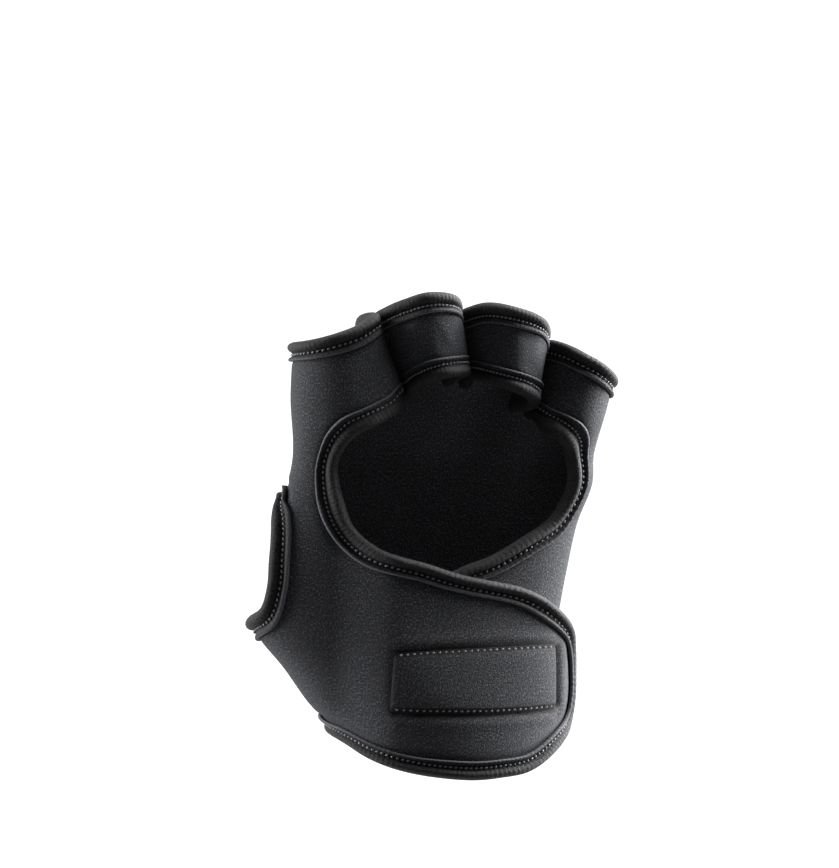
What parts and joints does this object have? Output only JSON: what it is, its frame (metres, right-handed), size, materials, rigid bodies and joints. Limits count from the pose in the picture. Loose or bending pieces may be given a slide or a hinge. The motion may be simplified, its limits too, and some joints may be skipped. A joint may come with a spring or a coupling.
{
  "type": "fingerless neoprene training glove",
  "caption": "Open-back fingerless neoprene glove for the right hand with finger bands, a thumb hole, bound edges and a wide wrist strap closed over the back of the wrist.",
  "frame": {"origin": "centre of the wrist opening, where the hand goes in", "axes": "+Z to the fingertips, +Y to the palm, -Y to the back of the hand, +X to the little finger"},
  "size_m": [0.1142, 0.056, 0.146],
  "materials": {
    "neoprene_jersey": "charcoal knitted jersey on neoprene foam, matt",
    "binding_tape": "black stretch binding tape, soft sheen",
    "patch_fabric": "black woven patch, matt, blank",
    "closure_fabric": "black hook fabric, hidden under the strap"
  },
  "bodies": {
    "root": {"hand_panel": "neoprene_jersey", "middle_band": "neoprene_jersey", "ring_band": "neoprene_jersey", "finger_rim_tape": "binding_tape", "edge_tape": "binding_tape", "thumb_hole_tape": "binding_tape", "middle_upper_tape": "binding_tape", "middle_lower_tape": "binding_tape", "ring_upper_tape": "binding_tape", "ring_lower_tape": "binding_tape", "strap_patch": "patch_fabric", "closure_pad": "closure_fabric"}
  },
  "joints": []
}
